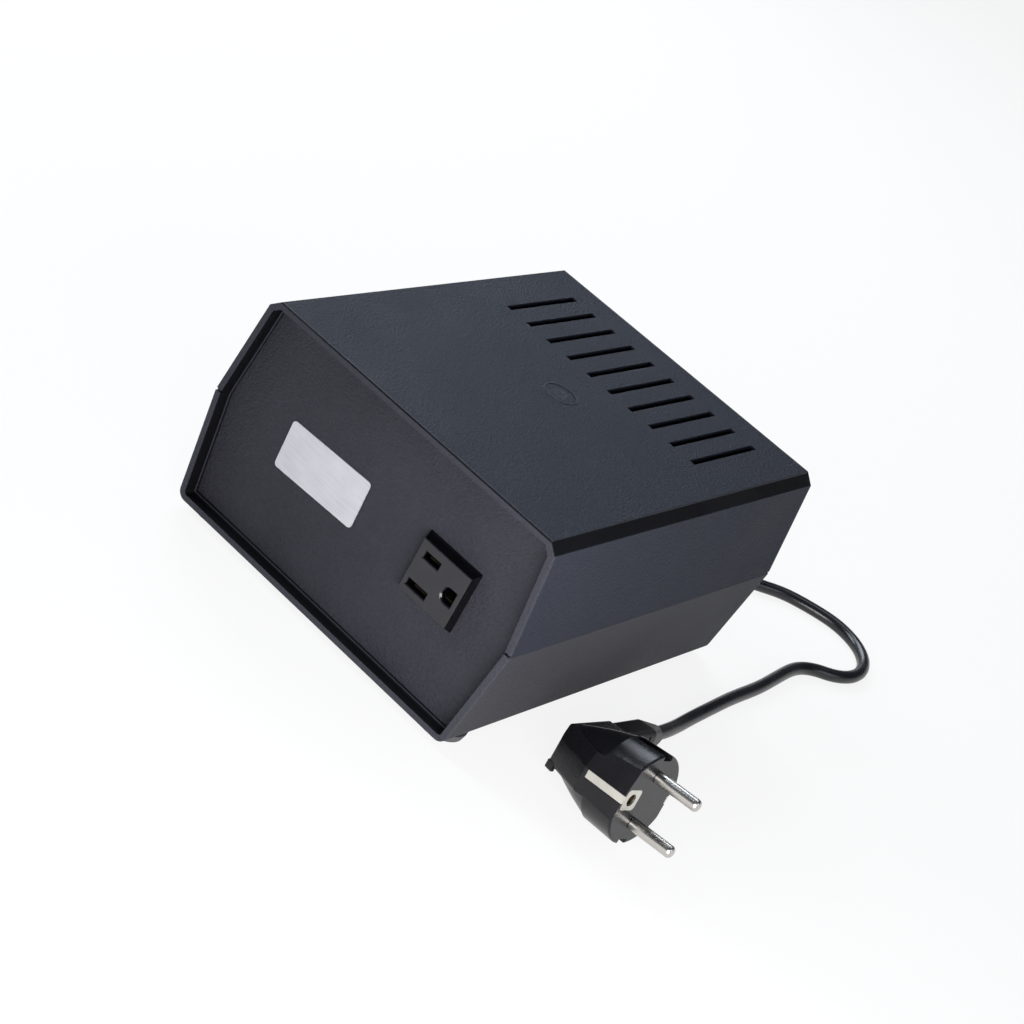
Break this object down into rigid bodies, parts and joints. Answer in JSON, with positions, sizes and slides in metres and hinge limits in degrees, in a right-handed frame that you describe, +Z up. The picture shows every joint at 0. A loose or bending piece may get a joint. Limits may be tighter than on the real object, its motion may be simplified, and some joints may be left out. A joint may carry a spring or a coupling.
{
  "type": "autotransformer",
  "caption": "Low box case in two shells with a recessed front panel, a side-turned earthed outlet, air slots in the top, and a mains cord with an angled round-pin plug.",
  "frame": {"origin": "on the supporting surface, under the middle of the case", "axes": "+Z up, the front panel with the outlet looks along -Y, +X to the right seen from the front"},
  "size_m": [0.2298, 0.2919, 0.0932],
  "materials": {
    "case_lower": "fine texture, nearly black grey",
    "case_upper": "fine texture, nearly black with a blue cast",
    "panel": "fine texture",
    "foot_rubber": "matt",
    "zinc_steel": "zinc plated",
    "label_silver": "satin foil",
    "outlet_black": "smooth, half matt",
    "contact_brass": "bright",
    "bush_black": "half matt",
    "cord_black": "soft PVC, half matt",
    "core_steel": "wound electrical steel",
    "tape_clear": "polyester film tape",
    "copper": "enamelled wire",
    "pad_rubber": "matt",
    "block_white": "translucent",
    "cutout_metal": "satin",
    "wire_green": "green with a yellow stripe",
    "wire_brown": "satin",
    "wire_blue": "satin",
    "tie_black": "satin",
    "plug_black": "moulded PVC, half matt",
    "pin_nickel": "nickel plated",
    "earth_metal": "tin plated"
  },
  "bodies": {
    "root": {"lower_shell": "case_lower", "upper_shell": "case_upper", "front_panel": "panel", "rear_panel": "panel", "feet": "foot_rubber", "case_screws": "zinc_steel", "label_plate": "label_silver", "outlet_body": "outlet_black", "outlet_line_contact": "contact_brass", "outlet_neutral_contact": "contact_brass", "outlet_earth_contact": "contact_brass", "push_on_terminals": "contact_brass", "cord_bush": "bush_black", "bush_nut": "bush_black", "inner_cord": "cord_black", "toroid_core": "core_steel", "core_insulation": "tape_clear", "common_winding": "copper", "series_winding": "copper", "outer_tape": "tape_clear", "lower_pad": "pad_rubber", "upper_pad": "pad_rubber", "clamp_plate": "zinc_steel", "bolt_washer": "zinc_steel", "bolt_nut": "zinc_steel", "mounting_bolt": "zinc_steel", "terminal_block": "block_white", "terminal_screws": "zinc_steel", "thermal_cutout": "cutout_metal", "supply_earth_wire": "wire_green", "supply_line_wire": "wire_brown", "supply_neutral_wire": "wire_blue", "common_lead": "wire_blue", "cutout_lead": "wire_brown", "outlet_earth_lead": "wire_green", "tap_lead": "wire_brown", "outlet_neutral_lead": "wire_blue", "cord_lead_in": "cord_black", "cord_coil": "cord_black", "coil_tie": "tie_black", "cord_lead_out": "cord_black", "plug_body": "plug_black", "plug_pins": "pin_nickel", "plug_earth_contact": "earth_metal", "plug_far_contact": "earth_metal", "plug_earth_sleeve": "contact_brass", "plug_relief": "plug_black"}
  },
  "joints": []
}
